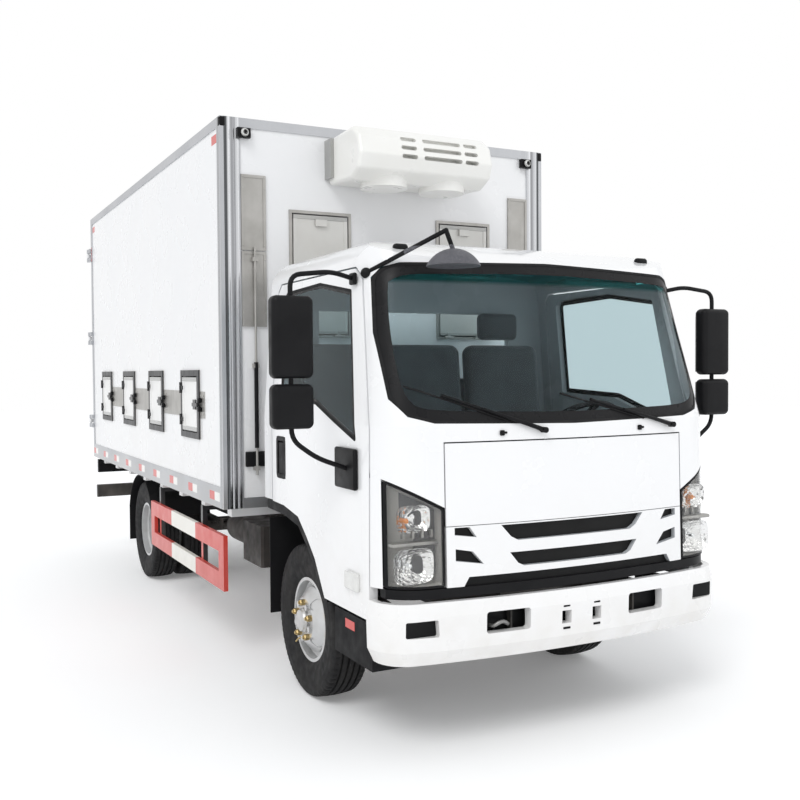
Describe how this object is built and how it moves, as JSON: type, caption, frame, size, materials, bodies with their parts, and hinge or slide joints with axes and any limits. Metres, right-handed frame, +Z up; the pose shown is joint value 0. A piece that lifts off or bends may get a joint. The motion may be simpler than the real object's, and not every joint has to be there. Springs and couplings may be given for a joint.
{
  "type": "delivery truck",
  "caption": "Light box truck: tilting cab, insulated box with vent hatches and rear doors, nose-mounted cooling unit, twin rear wheels, side guards.",
  "frame": {"origin": "on the ground under the middle of the whole vehicle", "axes": "+Z up, the truck faces -Y, +X is its left side"},
  "size_m": [2.598, 5.9948, 3.0888],
  "materials": {
    "body_white": "smooth white panel skin",
    "cab_white": "glossy white paint",
    "bumper_white": "glossy white paint",
    "guard_white": "red paint with a white middle length",
    "unit_white": "white moulding",
    "hatch_white": "white panel",
    "trim_aluminium": "satin profile",
    "hatch_black": "black frame",
    "frame_black": "satin black paint",
    "engine_metal": "bare casting",
    "wheel_silver": "silver paint",
    "tyre": "black rubber",
    "black_plastic": "grained black",
    "lamp_lens": "clear lens",
    "glass": "tinted glass",
    "cab_grey": "grey lining",
    "dash_grey": "grey grained moulding",
    "seat_fabric": "grey cloth"
  },
  "bodies": {
    "chassis": {"chassis_frame": "frame_black", "leaf_springs": "frame_black", "front_axle_beam": "frame_black", "rear_axle": "frame_black", "engine_and_driveline": "engine_metal", "fuel_tank": "frame_black", "battery_box": "frame_black", "box_floor": "body_white", "box_roof": "body_white", "box_front_wall": "body_white", "box_left_wall": "body_white", "box_right_wall": "body_white", "box_trims": "trim_aluminium", "hatch_fittings": "hatch_black", "refrigeration_unit": "unit_white", "side_guards": "guard_white", "rear_bumper": "frame_black", "mudguards_and_steps": "black_plastic", "body_lamps": "lamp_lens", "front_bumper": "bumper_white"},
    "cab": {"cab_shell": "cab_white", "cab_glass": "glass", "grille": "cab_white", "grille_backing": "black_plastic", "cab_lamps": "lamp_lens", "cab_floor": "cab_grey", "dashboard": "dash_grey", "seats": "seat_fabric", "cab_arches": "black_plastic", "cab_fittings": "black_plastic"},
    "front_lid": {"front_lid": "cab_white"},
    "steering_wheel": {"steering_wheel": "black_plastic"},
    "door_left": {"door_left": "cab_white", "door_glass_left": "glass", "door_mirror_left": "black_plastic"},
    "knuckle_left": {"knuckle_left": "frame_black"},
    "front_wheel_left": {"front_rim_left": "wheel_silver", "front_tyre_left": "tyre"},
    "rear_wheels_left": {"rear_rims_left": "wheel_silver", "rear_tyres_left": "tyre"},
    "rear_leaf_left": {"rear_leaf_left": "body_white"},
    "front_hatch_left": {"front_hatch_left": "hatch_white"},
    "side_hatch_left_1": {"side_hatch_left_1": "hatch_white"},
    "side_hatch_left_2": {"side_hatch_left_2": "hatch_white"},
    "side_hatch_left_3": {"side_hatch_left_3": "hatch_white"},
    "side_hatch_left_4": {"side_hatch_left_4": "hatch_white"},
    "door_right": {"door_right": "cab_white", "door_glass_right": "glass", "door_mirror_right": "black_plastic"},
    "knuckle_right": {"knuckle_right": "frame_black"},
    "front_wheel_right": {"front_rim_right": "wheel_silver", "front_tyre_right": "tyre"},
    "rear_wheels_right": {"rear_rims_right": "wheel_silver", "rear_tyres_right": "tyre"},
    "rear_leaf_right": {"rear_leaf_right": "body_white"},
    "front_hatch_right": {"front_hatch_right": "hatch_white"},
    "side_hatch_right_1": {"side_hatch_right_1": "hatch_white"},
    "side_hatch_right_2": {"side_hatch_right_2": "hatch_white"},
    "side_hatch_right_3": {"side_hatch_right_3": "hatch_white"},
    "side_hatch_right_4": {"side_hatch_right_4": "hatch_white"}
  },
  "joints": [
    {"name": "cab_tilt", "type": "hinge", "parent": "chassis", "child": "cab", "pos_m": [0, -2.8675, 0.76], "axis": [1, 0, 0], "range_deg": [0, 45]},
    {"name": "front_lid_hinge", "type": "hinge", "parent": "cab", "child": "front_lid", "pos_m": [0, -2.93467, 1.386], "axis": [-1, 0, 0], "range_deg": [0, 60]},
    {"name": "steering_wheel_turn", "type": "hinge", "parent": "cab", "child": "steering_wheel", "pos_m": [0.43, -2.4025, 1.37], "axis": [0, 0.6157, 0.788], "range_deg": [-540, 540]},
    {"name": "door_left_hinge", "type": "hinge", "parent": "cab", "child": "door_left", "pos_m": [0.912, -2.7145, 1.04], "axis": [0, 0, -1], "range_deg": [0, 70]},
    {"name": "steer_left", "type": "hinge", "parent": "chassis", "child": "knuckle_left", "pos_m": [0.66, -1.8175, 0.39], "axis": [0, 0, 1], "range_deg": [-36, 36]},
    {"name": "front_wheel_left_spin", "type": "hinge", "parent": "knuckle_left", "child": "front_wheel_left", "pos_m": [0.76, -1.8175, 0.39], "axis": [1, 0, 0], "continuous": true},
    {"name": "rear_wheels_left_spin", "type": "hinge", "parent": "chassis", "child": "rear_wheels_left", "pos_m": [0.715, 1.5425, 0.39], "axis": [1, 0, 0], "continuous": true},
    {"name": "rear_leaf_left_hinge", "type": "hinge", "parent": "chassis", "child": "rear_leaf_left", "pos_m": [1.098, 2.9735, 1.991], "axis": [0, 0, -1], "range_deg": [0, 250]},
    {"name": "front_hatch_left_hinge", "type": "hinge", "parent": "chassis", "child": "front_hatch_left", "pos_m": [0.484, -1.1845, 1.873], "axis": [1, 0, 0], "range_deg": [0, 20]},
    {"name": "side_hatch_left_1_hinge", "type": "hinge", "parent": "chassis", "child": "side_hatch_left_1", "pos_m": [1.099, -0.3155, 1.47], "axis": [0, 0, -1], "range_deg": [-120, 0]},
    {"name": "side_hatch_left_2_hinge", "type": "hinge", "parent": "chassis", "child": "side_hatch_left_2", "pos_m": [1.099, 0.5845, 1.47], "axis": [0, 0, -1], "range_deg": [-120, 0]},
    {"name": "side_hatch_left_3_hinge", "type": "hinge", "parent": "chassis", "child": "side_hatch_left_3", "pos_m": [1.099, 1.4845, 1.47], "axis": [0, 0, -1], "range_deg": [-120, 0]},
    {"name": "side_hatch_left_4_hinge", "type": "hinge", "parent": "chassis", "child": "side_hatch_left_4", "pos_m": [1.099, 2.3845, 1.47], "axis": [0, 0, -1], "range_deg": [-120, 0]},
    {"name": "door_right_hinge", "type": "hinge", "parent": "cab", "child": "door_right", "pos_m": [-0.912, -2.7145, 1.04], "axis": [0, 0, 1], "range_deg": [0, 70]},
    {"name": "steer_right", "type": "hinge", "parent": "chassis", "child": "knuckle_right", "pos_m": [-0.66, -1.8175, 0.39], "axis": [0, 0, 1], "range_deg": [-36, 36]},
    {"name": "front_wheel_right_spin", "type": "hinge", "parent": "knuckle_right", "child": "front_wheel_right", "pos_m": [-0.76, -1.8175, 0.39], "axis": [1, 0, 0], "continuous": true},
    {"name": "rear_wheels_right_spin", "type": "hinge", "parent": "chassis", "child": "rear_wheels_right", "pos_m": [-0.715, 1.5425, 0.39], "axis": [1, 0, 0], "continuous": true},
    {"name": "rear_leaf_right_hinge", "type": "hinge", "parent": "chassis", "child": "rear_leaf_right", "pos_m": [-1.098, 2.9735, 1.991], "axis": [0, 0, 1], "range_deg": [0, 250]},
    {"name": "front_hatch_right_hinge", "type": "hinge", "parent": "chassis", "child": "front_hatch_right", "pos_m": [-0.484, -1.1845, 1.873], "axis": [1, 0, 0], "range_deg": [0, 20]},
    {"name": "side_hatch_right_1_hinge", "type": "hinge", "parent": "chassis", "child": "side_hatch_right_1", "pos_m": [-1.099, -0.3155, 1.47], "axis": [0, 0, 1], "range_deg": [-120, 0]},
    {"name": "side_hatch_right_2_hinge", "type": "hinge", "parent": "chassis", "child": "side_hatch_right_2", "pos_m": [-1.099, 0.5845, 1.47], "axis": [0, 0, 1], "range_deg": [-120, 0]},
    {"name": "side_hatch_right_3_hinge", "type": "hinge", "parent": "chassis", "child": "side_hatch_right_3", "pos_m": [-1.099, 1.4845, 1.47], "axis": [0, 0, 1], "range_deg": [-120, 0]},
    {"name": "side_hatch_right_4_hinge", "type": "hinge", "parent": "chassis", "child": "side_hatch_right_4", "pos_m": [-1.099, 2.3845, 1.47], "axis": [0, 0, 1], "range_deg": [-120, 0]}
  ],
  "couplings": [
    {"joint": "steer_right", "follows": "steer_left", "ratio": 1},
    {"joint": "steering_wheel_turn", "follows": "steer_left", "ratio": 15}
  ]
}
